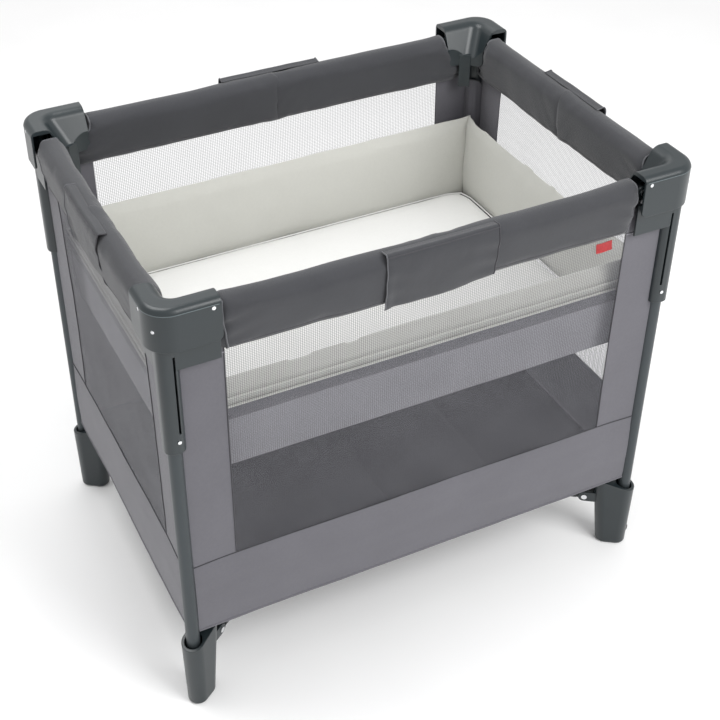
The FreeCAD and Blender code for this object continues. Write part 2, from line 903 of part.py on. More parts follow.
# ---------------------------------------------------------------- the yard

at_four_corners("corner_casting", corner_casting())
at_four_corners("corner_bracket", corner_bracket())
at_four_corners("leg_tube", leg_tube())

foot_turn = about((0, 0, 1), link_angle)
left_foot = locate(group("foot_placed", [foot()]), -post_x, -post_y, 0, turn=foot_turn)
finished("foot_front_left", left_foot)
mirrored("foot_back_left", left_foot, ACROSS_Y)
right_blank = doc.addObject("Part::Mirroring", "foot_blank")
right_blank.Source = left_foot
right_blank.Normal = FreeCAD.Vector(*ACROSS_X)
roller_x = post_x + roller_outset
roller_slot = box(
    "roller_slot",
    (
        roller_x - roller_radius - 1.5,
        -post_y - roller_width / 2 - 0.8,
        roller_height - roller_radius - 2,
    ),
    (roller_radius * 2 + 20, roller_width + 1.6, roller_radius * 2 + 3.5),
)
axle_radius = pin_radius - 1
axle_half = 17
axle_start = -post_y - axle_half
axle_hole = rod(
    "axle_hole",
    axle_radius + running_gap,
    axle_half * 2 + 2,
    (roller_x, axle_start - 1, roller_height),
    "Y",
)
right_foot = cut("foot_with_slot", right_blank, [roller_slot, axle_hole])
finished("foot_front_right", right_foot)
mirrored("foot_back_right", right_foot, ACROSS_Y)

fasteners = corner_fasteners()
left_set = finished("corner_fasteners_front_left", group("fasteners_left", fasteners))
mirrored("corner_fasteners_back_left", left_set, ACROSS_Y)
right_mirror = doc.addObject("Part::Mirroring", "fasteners_mirror")
right_mirror.Source = left_set
right_mirror.Normal = FreeCAD.Vector(*ACROSS_X)
axle = rod(
    "roller_axle", axle_radius, axle_half * 2, (roller_x, axle_start, roller_height), "Y"
)
right_group = group("fasteners_right", [right_mirror, axle])
right_set = finished("corner_fasteners_front_right", right_group)
mirrored("corner_fasteners_back_right", right_set, ACROSS_Y)

roller_start = -post_y - roller_width / 2
roller_disc = rod(
    "roller_disc",
    roller_radius,
    roller_width,
    (roller_x, roller_start, roller_height),
    "Y",
)
roller_bore = rod(
    "roller_bore",
    axle_radius + running_gap,
    roller_width + 2,
    (roller_x, roller_start - 1, roller_height),
    "Y",
)
roller = finished("roller_front_right", cut("roller_made", roller_disc, [roller_bore]))
mirrored("roller_back_right", roller, ACROSS_Y)

long_rail = bar("long_rail", long_link, rail_radius, rail_tongue_height)
at_four_corners(
    "long_rail", turned("long_rail_placed", long_rail, -long_pivot_x, -post_y, rail_height, 0)
)
short_rail = bar("short_rail", short_link, rail_radius, rail_tongue_height)
at_four_corners(
    "short_rail", turned("short_rail_placed", short_rail, -post_x, -short_pivot_y, rail_height, 90)
)
base_link = bar("base_link", as_size(link_length), link_radius, link_tongue_height)
at_four_corners(
    "base_link",
    turned("base_link_placed", base_link, -foot_pivot_x, -foot_pivot_y, base_height, link_angle),
)

# the front is mirrored to the back, and the left to the right
long_cover_half = overall_length / 2 - casting_long_arm - 3
short_cover_half = overall_width / 2 - casting_short_arm - 3
sides = (
    ("front", "back", 0, as_size(0), -post_y, ACROSS_Y, long_hinge_offset, long_cover_half),
    ("left", "right", 90, -post_x, as_size(0), ACROSS_X, short_hinge_offset, short_cover_half),
)
for near, far, turn, x, y, normal, offset, cover_half in sides:
    makers = {
        "rail_hinge": (rail_hinge(f"hinge_{near}", offset), rail_height),
        "hinge_pins": (hinge_pins(f"pins_{near}", offset), rail_height),
        "release_button": (release_button(f"button_{near}"), rail_height),
        "rail_cover": (rail_cover(f"cover_{near}", cover_half), 0),
    }
    for stem, (made, height) in makers.items():
        placed = turned(f"{stem}_placed_{near}", made, x, y, height, turn)
        finished(f"{stem}_{near}", placed)
        mirrored(f"{stem}_{far}", placed, normal)

panel_top = cover_bottom - 2
panel_gap = 24
front_panel = box(
    "panel_front",
    (-post_x + panel_gap, -post_y - panel_cloth / 2 - 1, hem_height),
    ((post_x - panel_gap) * 2, panel_cloth, panel_top - hem_height),
)
finished("side_panel_front", front_panel)
mirrored("side_panel_back", front_panel, ACROSS_Y)
left_panel = box(
    "panel_left",
    (-post_x - panel_cloth / 2 - 1, -post_y + panel_gap, hem_height),
    (panel_cloth, (post_y - panel_gap) * 2, panel_top - hem_height),
)
finished("side_panel_left", left_panel)
mirrored("side_panel_right", left_panel, ACROSS_X)

floor_margin = 29
finished(
    "floor_fabric",
    box(
        "floor_cloth_sheet",
        (-post_x + floor_margin, -post_y + 9, floor_height),
        ((post_x - floor_margin) * 2, (post_y - 9) * 2, floor_cloth),
    ),
)
finished("hub", hub())
finished("hub_pins", hub_pins())
finished("hub_handle", hub_handle())
finished("insert", insert())
finished("mattress", mattress())

# ---------------------------------------------------------------- checks and export

doc.recompute()
for item in doc.Objects:
    if {"Invalid", "Error"} & set(item.State):
        raise RuntimeError(f"{item.Name} ({item.Label}) failed: {item.State}")
for label, item in pieces.items():
    if item.Label != label:
        raise RuntimeError(f"{label} has the label {item.Label}")
    if item.Shape.isNull() or not item.Shape.isValid() or not item.Shape.Solids:
        raise RuntimeError(f"{label} has no valid shape")

os.makedirs("parts", exist_ok=True)
for label, item in pieces.items():
    item.Shape.exportStep(f"parts/{label}.step")
print(len(pieces), "sub-parts, base link", round(link_length, 4), "mm")
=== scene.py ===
import json
import math

import bmesh
import bpy
from mathutils import Matrix, Vector, noise


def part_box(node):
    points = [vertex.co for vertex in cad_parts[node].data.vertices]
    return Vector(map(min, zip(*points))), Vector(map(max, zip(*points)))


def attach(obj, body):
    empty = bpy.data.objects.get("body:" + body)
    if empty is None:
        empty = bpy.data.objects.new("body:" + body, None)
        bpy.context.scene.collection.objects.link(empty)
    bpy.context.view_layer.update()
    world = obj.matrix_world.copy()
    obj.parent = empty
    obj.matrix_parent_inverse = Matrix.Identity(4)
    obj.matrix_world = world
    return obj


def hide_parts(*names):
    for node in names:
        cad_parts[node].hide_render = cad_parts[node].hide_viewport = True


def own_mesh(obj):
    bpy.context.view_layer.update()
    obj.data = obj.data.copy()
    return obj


# The looks of a travel play yard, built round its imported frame. Metres, +Z up, -Y is the front.

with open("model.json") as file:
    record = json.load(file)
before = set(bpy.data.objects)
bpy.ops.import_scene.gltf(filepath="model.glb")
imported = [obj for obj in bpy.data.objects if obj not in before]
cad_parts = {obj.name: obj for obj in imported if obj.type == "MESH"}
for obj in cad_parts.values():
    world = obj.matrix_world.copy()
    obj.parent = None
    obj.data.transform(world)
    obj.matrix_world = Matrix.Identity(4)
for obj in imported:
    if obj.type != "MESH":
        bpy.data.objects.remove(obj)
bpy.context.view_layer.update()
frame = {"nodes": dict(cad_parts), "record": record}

CORNERS = ("front_left", "front_right", "back_left", "back_right")

# ---------------------------------------------------------------- places from the frame


def middle(node):
    """The middle of a node's box."""
    low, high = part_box(node)
    return (low + high) / 2


POST = middle("leg_tube_front_right")
POST_X = POST.x
POST_Y = -POST.y
CASTING_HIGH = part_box("corner_casting_front_left")[1]
CASTING_END_X = -CASTING_HIGH.x
CASTING_END_Y = -CASTING_HIGH.y
RAIL_Z = middle("long_rail_front_left").z
COVER_LOW, COVER_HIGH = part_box("rail_cover_front")
COVER_BOTTOM = COVER_LOW.z
COVER_TOP = COVER_HIGH.z
HEM_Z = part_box("side_panel_front")[0].z
FLOOR_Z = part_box("floor_fabric")[1].z
INSERT_LOW, INSERT_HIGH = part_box("insert")
MATTRESS_LOW, MATTRESS_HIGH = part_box("mattress")

SEAM_Z = 0.353
STRIP_TOP = COVER_BOTTOM + 0.050
APRON_BOTTOM = 0.811
WINDOW_INSET = 0.096
FLAP_HALF = 0.106
SHORT_FLAP = 0.85
SLEEVE_TOP = 0.806
CASTING_ROUND = 0.046

# ---------------------------------------------------------------- material helpers


def linear(code):
    """A colour from its six hexadecimal digits, as the shader takes it."""
    values = [int(code[n : n + 2], 16) / 255 for n in (0, 2, 4)]
    return tuple(v / 12.92 if v < 0.04045 else ((v + 0.055) / 1.055) ** 2.4 for v in values)


class Shader:
    """A material under construction, with one principled shader."""

    def __init__(self, name, roughness=0.5, **sockets):
        self.material = bpy.data.materials.new(name)
        self.material.use_nodes = True
        self.nodes = self.material.node_tree.nodes
        self.links = self.material.node_tree.links
        self.principled = self.nodes["Principled BSDF"]
        self.principled.inputs["Roughness"].default_value = roughness
        for key, value in sockets.items():
            self.principled.inputs[key.replace("_", " ")].default_value = value

    def node(self, kind, **settings):
        made = self.nodes.new(kind)
        for key, value in settings.items():
            setattr(made, key, value)
        return made

    def link(self, source, target):
        self.links.new(source, target)

    def math(self, operation, first, second=None):
        made = self.node("ShaderNodeMath", operation=operation)
        for socket, value in zip(made.inputs, (first, second)):
            if hasattr(value, "is_output"):
                self.link(value, socket)
            elif value is not None:
                socket.default_value = value
        return made.outputs[0]

    def noise(self, scale, detail=2, stretch=(1, 1, 1)):
        place = self.node("ShaderNodeTexCoord")
        mapping = self.node("ShaderNodeMapping")
        mapping.inputs["Scale"].default_value = stretch
        self.link(place.outputs["Object"], mapping.inputs["Vector"])
        made = self.node("ShaderNodeTexNoise")
        made.inputs["Scale"].default_value = scale
        made.inputs["Detail"].default_value = detail
        self.link(mapping.outputs["Vector"], made.inputs["Vector"])
        return made.outputs["Fac"]

    def colours(self, factor, dark, light, low=0.3, high=0.7):
        """Mixes two colours by a factor, which runs between low and high."""
        ramp = self.node("ShaderNodeValToRGB")
        ramp.color_ramp.elements[0].position = low
        ramp.color_ramp.elements[1].position = high
        ramp.color_ramp.elements[0].color = (*dark, 1)
        ramp.color_ramp.elements[1].color = (*light, 1)
        self.link(factor, ramp.inputs["Fac"])
        return ramp.outputs["Color"]

    def base(self, colour):
        self.link(colour, self.principled.inputs["Base Color"])

    def roughen(self, factor, low, high):
        span = self.node("ShaderNodeMapRange")
        span.inputs["To Min"].default_value = low
        span.inputs["To Max"].default_value = high
        self.link(factor, span.inputs["Value"])
        self.link(span.outputs["Result"], self.principled.inputs["Roughness"])

    def soft_edges(self, radius):
        """Shades the sharp edges as if they were rounded."""
        made = self.node("ShaderNodeBevel", samples=6)
        made.inputs["Radius"].default_value = radius
        return made.outputs["Normal"]

    def bump(self, height, distance, strength=1.0, under=None):
        made = self.node("ShaderNodeBump")
        made.inputs["Strength"].default_value = strength
        made.inputs["Distance"].default_value = distance
        self.link(height, made.inputs["Height"])
        if under is not None:
            self.link(under, made.inputs["Normal"])
        self.link(made.outputs["Normal"], self.principled.inputs["Normal"])
        return made.outputs["Normal"]


def shade(colour, amount):
    """The colour made lighter or darker by a factor."""
    return tuple(min(1.0, c * amount) for c in colour)


def woven(name, code, weave=0.0016, contrast=0.10, sheen=0.2, roughness=0.85):
    """Plain woven cloth: crossed yarns, uneven dye and a soft nap."""
    made = Shader(name, roughness=roughness, Sheen_Weight=sheen, Sheen_Roughness=0.5)
    colour = linear(code)
    uneven = made.noise(9, detail=4)
    fine = made.noise(170, detail=4)
    flecks = made.math("MULTIPLY_ADD", fine, 0.5)
    made.link(made.math("MULTIPLY", uneven, 0.5), flecks.node.inputs[2])
    dark, light = shade(colour, 1 - contrast), shade(colour, 1 + contrast)
    made.base(made.colours(flecks, dark, light))
    place = made.node("ShaderNodeTexCoord")
    split = made.node("ShaderNodeSeparateXYZ")
    made.link(place.outputs["Object"], split.inputs[0])
    x, y, z = (split.outputs[axis] for axis in "XYZ")
    turns = 2 * math.pi / weave
    weft = made.math("SINE", made.math("MULTIPLY", made.math("ADD", x, y), turns))
    skew = made.math("ADD", z, made.math("SUBTRACT", x, y))
    warp = made.math("SINE", made.math("MULTIPLY", skew, turns))
    yarns = made.math("MULTIPLY", warp, weft)
    first = made.bump(yarns, 0.0002, strength=0.35)
    second = made.bump(fine, 0.0006, strength=0.35, under=first)
    made.bump(uneven, 0.0015, strength=0.35, under=second)
    made.roughen(fine, roughness - 0.07, roughness + 0.07)
    return made.material


def moulded(name, code, roughness=0.34, grain=1400, contrast=0.06):
    """Injection-moulded plastic with a fine spark-eroded grain."""
    made = Shader(name, roughness=roughness, Coat_Weight=0.1, Coat_Roughness=0.2)
    colour = linear(code)
    cloud = made.noise(14, detail=3)
    made.base(made.colours(cloud, shade(colour, 1 - contrast), shade(colour, 1 + contrast)))
    spots = made.noise(grain, detail=2)
    made.bump(spots, 0.00010, strength=0.3, under=made.soft_edges(0.0022))
    made.roughen(cloud, roughness - 0.06, roughness + 0.06)
    return made.material


def coated(name, code, roughness=0.36, metallic=0.35):
    """Powder-coated steel tube with a faint orange-peel surface."""
    made = Shader(name, roughness=roughness, Metallic=metallic)
    colour = linear(code)
    streaks = made.noise(30, detail=3, stretch=(1, 1, 0.12))
    made.base(made.colours(streaks, shade(colour, 0.93), shade(colour, 1.06)))
    peel = made.noise(700, detail=1)
    made.bump(peel, 0.0001, strength=0.4)
    made.roughen(streaks, roughness - 0.05, roughness + 0.07)
    return made.material


def steel():
    """Bright zinc-plated steel."""
    made = Shader("bright_steel", roughness=0.22, Metallic=1.0)
    rub = made.noise(600, detail=2)
    made.base(made.colours(rub, (0.62, 0.63, 0.65), (0.86, 0.87, 0.88)))
    made.roughen(rub, 0.16, 0.34)
    return made.material


def rubber():
    """Dusty black rubber for the rollers."""
    made = Shader("tread_rubber", roughness=0.7)
    dust = made.noise(60, detail=4)
    made.base(made.colours(dust, linear("2c2d2f"), linear("45464a")))
    made.bump(made.noise(500, detail=2), 0.0002, strength=0.5)
    made.roughen(dust, 0.6, 0.85)
    return made.material


def knitted_mesh():
    """An open knitted net: grey yarn round small holes in offset rows."""
    # the holes stand half a pitch apart, both along the rows and across them
    made = Shader("mesh_net", roughness=0.8, Sheen_Weight=0.15)
    pitch = 0.0078
    place = made.node("ShaderNodeTexCoord")
    split = made.node("ShaderNodeSeparateXYZ")
    made.link(place.outputs["UV"], split.inputs[0])
    along = made.math("MULTIPLY", split.outputs["X"], 2 * math.pi / pitch)
    across = made.math("MULTIPLY", split.outputs["Y"], 2 * math.pi / (pitch * 0.9))
    first = made.math("SINE", made.math("ADD", along, across))
    second = made.math("SINE", made.math("SUBTRACT", along, across))
    holes = made.math("MULTIPLY", first, second)
    yarn = made.node("ShaderNodeMapRange")
    yarn.inputs["From Min"].default_value = -0.08
    yarn.inputs["From Max"].default_value = 0.28
    yarn.inputs["To Min"].default_value = 0.50
    yarn.inputs["To Max"].default_value = 0.0
    made.link(holes, yarn.inputs["Value"])
    # seen at a slant, the yarn's own thickness closes the holes
    slant = made.node("ShaderNodeLayerWeight").outputs["Facing"]
    closed = made.math("MULTIPLY", made.math("POWER", slant, 2.0), 0.45)
    cover = made.math("MINIMUM", made.math("ADD", yarn.outputs["Result"], closed), 1.0)
    made.link(cover, made.principled.inputs["Alpha"])
    cloud = made.noise(12, detail=3)
    made.base(made.colours(cloud, linear("626268"), linear("727278")))
    return made.material


def red_tag():
    """Red woven ribbon."""
    made = Shader("tag_red", roughness=0.6, Sheen_Weight=0.2)
    weave = made.noise(300, detail=2)
    made.base(made.colours(weave, linear("8a1216"), linear("a31a1f")))
    made.bump(weave, 0.0002, strength=0.4)
    return made.material


MATERIALS = {
    "casting_plastic": moulded("casting_plastic", "20282b"),
    "hinge_plastic": moulded("hinge_plastic", "212325", roughness=0.5),
    "button_plastic": moulded("button_plastic", "a32722", roughness=0.35),
    "frame_tube": coated("frame_tube", "393f42"),
    "rail_tube": coated("rail_tube", "2b2d2f"),
    "bright_steel": steel(),
    "roller_rubber": rubber(),
    "rail_fabric": woven("rail_cloth", "333438", contrast=0.16),
    "panel_fabric": woven("panel_cloth", "5e5d63", contrast=0.09),
    "floor_fabric": woven("floor_cloth", "212024", contrast=0.12),
    "insert_fabric": woven("insert_cloth", "c0c0ba", contrast=0.03),
    "band_fabric": woven("band_cloth", "58575c", contrast=0.08),
    "mattress_fabric": woven("mattress_cloth", "e6e6e4", contrast=0.02),
    "mesh_fabric": knitted_mesh(),
}
SEAM = woven("seam_cloth", "37363b", contrast=0.1)
# painted highlight: a pale grey plastic for the thin cords that stand in for the light caught under
# the castings' rolled lips
LIP_HIGHLIGHT = moulded("lip_line_plastic", "566063")
HEM_EDGE = woven("hem_edge_cloth", "7d7c82", contrast=0.05)
PIPING = woven("piping_cloth", "56575b", contrast=0.10)
LOWER_BAND = woven("lower_band_cloth", "89888d", contrast=0.05)
TAG = red_tag()

# ---------------------------------------------------------------- mesh helpers


def piece_from(name, points, faces, material, uvs=None, smooth=True):
    """An object in the frame's own coordinates. uvs holds one place for each point."""
    mesh = bpy.data.meshes.new(name)
    mesh.from_pydata([tuple(p) for p in points], [], faces)
    mesh.update()
    if uvs is not None:
        layer = mesh.uv_layers.new(name="UVMap")
        for loop in mesh.loops:
            layer.data[loop.index].uv = uvs[loop.vertex_index]
    for polygon in mesh.polygons:
        polygon.use_smooth = smooth
    made = bpy.data.objects.new(name, mesh)
    bpy.context.scene.collection.objects.link(made)
    mesh.materials.append(material)
    return made


def sheet_grid(columns, rows, place):
    """Points, faces and lengths along a surface: place(s, t) gives a point, s and t from 0 to 1."""
    points = []
    for row in range(rows + 1):
        for column in range(columns + 1):
            points.append(Vector(place(column / columns, row / rows)))
    faces = []
    wide = columns + 1
    for row in range(rows):
        for column in range(columns):
            a = row * wide + column
            faces.append((a, a + 1, a + 1 + wide, a + wide))
    uvs = []
    for row in range(rows + 1):
        run = 0.0
        for column in range(columns + 1):
            index = row * wide + column
            if column:
                run += (points[index] - points[index - 1]).length
            rise = 0.0 if row == 0 else uvs[index - wide][1] + (
                points[index] - points[index - wide]
            ).length
            uvs.append((run, rise))
    return points, faces, uvs


def apply_modifiers(made):
    """Makes the object's modifiers part of its mesh."""
    graph = bpy.context.evaluated_depsgraph_get()
    mesh = bpy.data.meshes.new_from_object(made.evaluated_get(graph))
    made.modifiers.clear()
    made.data = mesh
    return made


def finer(made):
    """One round of subdivision, made part of the mesh."""
    smoother = made.modifiers.new("smooth", "SUBSURF")
    smoother.levels = 1
    smoother.render_levels = 1
    return apply_modifiers(made)


def close_seam(made):
    """Joins points that lie on each other, so the skin is closed."""
    shape = bmesh.new()
    shape.from_mesh(made.data)
    bmesh.ops.remove_doubles(shape, verts=shape.verts, dist=0.00005)
    bmesh.ops.recalc_face_normals(shape, faces=shape.faces)
    shape.to_mesh(made.data)
    shape.free()


def thicken(made, thickness, offset=0.0):
    """Gives a sheet its thickness, with crisp edges."""
    layer = made.modifiers.new("thickness", "SOLIDIFY")
    layer.thickness = thickness
    layer.offset = offset
    layer.use_even_offset = True
    apply_modifiers(made)
    made.data.set_sharp_from_angle(angle=math.radians(40))
    return made


def lay_on(points, made, lift):
    """The points moved onto the piece's surface, and lift proud of it."""
    laid = []
    for point in points:
        nearest = made.closest_point_on_mesh(point)
        laid.append(nearest[1] + nearest[2] * lift)
    return laid


def puff(made, pressure, cap, voxel=0.006, stiffness=20):
    """Blows the pad up a little as cloth, so that it crowns and wrinkles between its seams."""
    bpy.context.view_layer.objects.active = made
    remesh = made.modifiers.new("even", "REMESH")
    remesh.mode = "VOXEL"
    remesh.voxel_size = voxel
    remesh.use_smooth_shade = True
    apply_modifiers(made)
    before = [v.co.copy() for v in made.data.vertices]
    cloth = made.modifiers.new("cloth", "CLOTH")
    cloth.settings.use_pressure = True
    cloth.settings.uniform_pressure_force = pressure
    cloth.settings.effector_weights.gravity = 0
    cloth.settings.tension_stiffness = stiffness
    cloth.settings.compression_stiffness = stiffness
    cloth.settings.bending_stiffness = 0.4
    cloth.settings.quality = 4
    cloth.point_cache.frame_start = 1
    cloth.point_cache.frame_end = 20
    for number in range(1, 21):
        bpy.context.scene.frame_set(number)
    apply_modifiers(made)
    bpy.context.scene.frame_set(1)
    for vertex, start in zip(made.data.vertices, before):
        move = vertex.co - start
        if move.length > cap:
            vertex.co = start + move * (cap / move.length)
    soften = made.modifiers.new("soften", "SMOOTH")
    soften.factor = 0.5
    soften.iterations = 3
    made = finer(made)
    for polygon in made.data.polygons:
        polygon.use_smooth = True
    return made


def cord_along(name, points, radius, material, closed=False, sides=3):
    """A round piping or thread that follows the points."""
    curve = bpy.data.curves.new(name, "CURVE")
    curve.dimensions = "3D"
    curve.bevel_depth = radius
    curve.bevel_resolution = sides
    spline = curve.splines.new("POLY")
    spline.points.add(len(points) - 1)
    for target, point in zip(spline.points, points):
        target.co = (*point, 1)
    spline.use_cyclic_u = closed
    curve.use_fill_caps = True
    made = bpy.data.objects.new(name, curve)
    bpy.context.scene.collection.objects.link(made)
    bpy.context.view_layer.update()
    graph = bpy.context.evaluated_depsgraph_get()
    mesh = bpy.data.meshes.new_from_object(made.evaluated_get(graph))
    bpy.data.objects.remove(made)
    bpy.data.curves.remove(curve)
    made = bpy.data.objects.new(name, mesh)
    bpy.context.scene.collection.objects.link(made)
    mesh.materials.clear()
    mesh.materials.append(material)
    for polygon in mesh.polygons:
        polygon.use_smooth = True
    return made


def ripple(x, y, z, size, seed=0.0):
    """Smooth noise, about -1 to 1, whose waves are about size long."""
    return noise.noise(Vector((x / size + seed, y / size - seed, z / size + 2 * seed)))


def smooth_step(value, low, high):
    """0 below low, 1 above high, and an easy rise between them."""
    t = min(1.0, max(0.0, (value - low) / (high - low)))
    return t * t * (3 - 2 * t)


# ---------------------------------------------------------------- sides
# A side is described along its own line: s runs along the rail, out is away from the yard.


class Side:
    """One side of the yard: where its rail runs and which way is out."""

    def __init__(self, name, along, out, half, reach, casting_end, ends):
        self.name = name
        self.along = Vector(along)
        self.out = Vector(out)
        self.half = half
        self.reach = reach
        self.casting_end = casting_end
        self.ends = ends
        self.long = half > reach

    def at(self, s, out, z):
        """The point at s along the rail, out from the rail's own plane, at height z."""
        point = self.along * s + self.out * (self.reach + out)
        return Vector((point.x, point.y, z))


LONG = (POST_X, POST_Y, CASTING_END_X)
SHORT = (POST_Y, POST_X, CASTING_END_Y)
SIDES = (
    Side("front", (1, 0, 0), (0, -1, 0), *LONG, ("front_left", "front_right")),
    Side("right", (0, 1, 0), (1, 0, 0), *SHORT, ("front_right", "back_right")),
    Side("back", (-1, 0, 0), (0, 1, 0), *LONG, ("back_right", "back_left")),
    Side("left", (0, -1, 0), (-1, 0, 0), *SHORT, ("back_left", "front_left")),
)


def rail_body(side, corner):
    """The body of the half rail on that side, next to that corner."""
    kind = "long" if side.long else "short"
    return f"{kind}_rail_{corner}"


# ---------------------------------------------------------------- rail covers

COVER_SECTION = (
    # out from the rail's plane and height, from the outer hem over the top
    (0.0000, COVER_BOTTOM + 0.0015),
    (0.0070, COVER_BOTTOM + 0.0020),
    (0.0105, COVER_BOTTOM + 0.0060),
    (0.0138, COVER_BOTTOM + 0.024),
    (0.0172, COVER_BOTTOM + 0.047),
    (0.0196, COVER_BOTTOM + 0.070),
    (0.0203, COVER_BOTTOM + 0.087),
    (0.0182, COVER_BOTTOM + 0.100),
    (0.0120, COVER_BOTTOM + 0.1085),
    (0.0000, COVER_TOP - 0.0005),
)


def cover_profile():
    """The closed outline of a padded cover, as (out, height), with a soft round top."""
    outer = list(COVER_SECTION)
    inner = [(-out, z) for out, z in reversed(outer[:-1])]
    return outer + inner


def smooth_outline(outline, pieces_per_span):
    """A Catmull-Rom line through the outline's points."""
    line = []
    count = len(outline)
    for n in range(count - 1):
        before = Vector(outline[max(0, n - 1)])
        a, b = Vector(outline[n]), Vector(outline[n + 1])
        after = Vector(outline[min(count - 1, n + 2)])
        for step in range(pieces_per_span):
            t = step / pieces_per_span
            line.append(
                0.5
                * (
                    2 * a
                    + (b - before) * t
                    + (2 * before - 5 * a + 4 * b - after) * t * t
                    + (3 * a - before - 3 * b + after) * t**3
                )
            )
    line.append(Vector(outline[-1]))
    return line


def cover_half(side, sign, corner):
    """Half a side's padded rail cover, from under the flap to its concave end at the casting."""
    outline = smooth_outline(cover_profile(), 4)
    start = -0.011
    end = side.casting_end - 0.001
    into_corner = 0.050
    seed = 3.7 * sum(map(ord, corner + side.name)) % 17
    rows = 60
    columns = len(outline) - 1

    def place(s, t):
        out, z = outline[round(s * columns)]
        inner = out < 0
        low = smooth_step(COVER_TOP - z, 0.012, 0.112)
        # the end is cut in a hollow curve: into the corner inside, back from it outside
        share = min(1.0, abs(out) / 0.008)
        reach = into_corner * (1 - (1 - low) ** 1.7) * share if inner else -0.012 * low * share
        run = start + (end + reach - start) * t
        near_end = smooth_step(run, end - 0.10, end + 0.01)
        near_hinge = 1 - smooth_step(run, 0.0, 0.09)
        belly = math.sin(math.pi * smooth_step(run, 0.0, end))
        swell = 1.0 + 0.26 * near_end * (1 if inner else 0.15) + 0.05 * belly
        p = side.at(sign * run, out * swell, z)
        hang = smooth_step(COVER_TOP - z, 0.02, 0.10)
        soft = 0.0024 * ripple(p.x, p.y, p.z, 0.15, seed)
        soft += 0.0013 * ripple(p.x, p.y, p.z, 0.05, seed + 4)
        pull = 0.0014 * near_end * math.sin(z * 190 + run * 55)
        crease = 0.0008 * near_hinge * math.sin(z * 120 - run * 170) * min(1, max(0, run) / 0.03)
        edge = min(1.0, abs(out) / 0.006)
        p += side.out * (math.copysign(1, out) * edge * (soft * (0.4 + hang) + pull + crease))
        wave = 0.0022 * ripple(p.x, p.y, 0.0, 0.13, seed + 9)
        dip = 0.0022 * near_hinge
        p.z += wave * (1 - 0.5 * hang) - dip * (1 - hang) - 0.001 * (1 - near_end)
        return p

    points, faces, uvs = sheet_grid(columns, rows, place)
    wide = columns + 1
    caps = [tuple(reversed(range(wide))), tuple(rows * wide + n for n in range(wide))]
    faces += caps
    if sign < 0:
        faces = [tuple(reversed(face)) for face in faces]
    material = MATERIALS["rail_fabric"]
    name = f"cover_{side.name}_{corner}"
    made = piece_from(name, points, faces, material, uvs)
    close_seam(made)
    made = puff(made, pressure=4, cap=0.0035, voxel=0.0055)
    made.data.name = name
    body = rail_body(side, corner)
    rim = lay_on([points[rows * wide + n] for n in range(4, wide - 4)], made, 0.0004)
    piping = cord_along(f"{name}_piping", rim, 0.0016, PIPING)
    parts = [made, piping]
    # a row of stitches just above the hem, outside and inside
    for column, label in ((11, "outer"), (columns - 11, "inner")):
        line = lay_on([points[row * wide + column] for row in range(2, rows - 1)], made, 0.0001)
        parts.append(cord_along(f"{name}_stitch_{label}", line, 0.0007, SEAM))
    anchor = side.at(sign * side.half / 2, 0, COVER_TOP - 0.004)
    for part in parts:
        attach(part, body)
        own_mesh(part)
    return made


def hinge_flap(side):
    """The separate cloth flap that lies over the cover's two halves outside the hinge."""
    outline = smooth_outline(cover_profile(), 4)
    first, last = 5, 35
    outline = outline[first : last + 1]
    half = FLAP_HALF if side.long else FLAP_HALF * SHORT_FLAP
    seed = 1.3 * sum(map(ord, side.name)) % 11
    rows = 44
    columns = len(outline) - 1

    def place(s, t):
        out, z = outline[round(s * columns)]
        run = -half + 2 * half * t
        low = smooth_step(COVER_TOP - z, 0.01, 0.112)
        centre = 1 - (run / half) ** 2
        free = smooth_step(half - run, 0.02, 0.09)
        drop = (-0.0035 + 0.0055 * free + 0.002 * centre) * low
        proud = 0.0046 * min(1.0, out / 0.009) - 0.002 * (1 - min(1.0, out / 0.009))
        p = side.at(run, out * 1.06 + proud, z - drop)
        soft = 0.0016 * ripple(p.x, p.y, p.z, 0.09, seed)
        soft += 0.0010 * ripple(p.x, p.y, p.z, 0.035, seed + 5)
        fold = 0.0010 * math.sin(z * 190 + run * 25) * (1 - centre)
        lift = 0.0042 * smooth_step(-run, half - 0.020, half) * low
        p += side.out * (abs(soft) + fold + lift + 0.0012 * centre)
        crown = smooth_step(s, 0.86, 1.0)
        p.z += (0.0030 - 0.0062 * crown) * (1 - low) + 0.0007 * ripple(p.x, p.y, 0.0, 0.05, seed)
        return p

    points, faces, uvs = sheet_grid(columns, rows, place)
    name = f"flap_{side.name}"
    cloth = MATERIALS["rail_fabric"]
    made = piece_from(name, points, faces, cloth, uvs)
    made = thicken(made, 0.0020, offset=1.0)
    made = finer(made)
    made.data.name = name
    wide = columns + 1
    parts = [made]
    for row, label, colour in ((0, "free_edge", PIPING), (rows, "sewn_edge", SEAM)):
        rim = [points[row * wide + n] for n in range(wide)]
        parts.append(cord_along(f"{name}_{label}", rim, 0.0012, colour))
    fold_column = columns - 6
    for column, label in ((fold_column, "top_fold"), (0, "hem")):
        line = [points[row * wide + column] + side.out * 0.0006 for row in range(rows + 1)]
        parts.append(cord_along(f"{name}_{label}", line, 0.0010, SEAM))
    body = f"rail_hinge_{side.name}"
    anchor = side.at(0, 0, RAIL_Z)
    for part in parts:
        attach(part, body)
        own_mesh(part)
    return made


def rail_covers():
    """Every side's padded cover, and the flap over its hinge."""
    for side in SIDES:
        halves = [cover_half(side, sign, corner) for sign, corner in zip((-1, 1), side.ends)]
        hinge_flap(side)
        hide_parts(f"rail_cover_{side.name}")


# ---------------------------------------------------------------- side panels


def panel_out(side, s, z, seed):
    """How far the cloth of a side stands out from the rail's plane."""
    taut = 0.0040
    edge = smooth_step(side.half - abs(s), 0.0, 0.09)
    sag = 0.0035 * edge * math.sin(math.pi * min(1, max(0, (z - HEM_Z) / 0.62)))
    soft = 0.0018 * ripple(s * 1.0, seed, z, 0.21, seed) * edge
    fine = 0.0007 * ripple(s, seed, z, 0.06, seed + 3) * edge
    return taut - sag + soft + fine


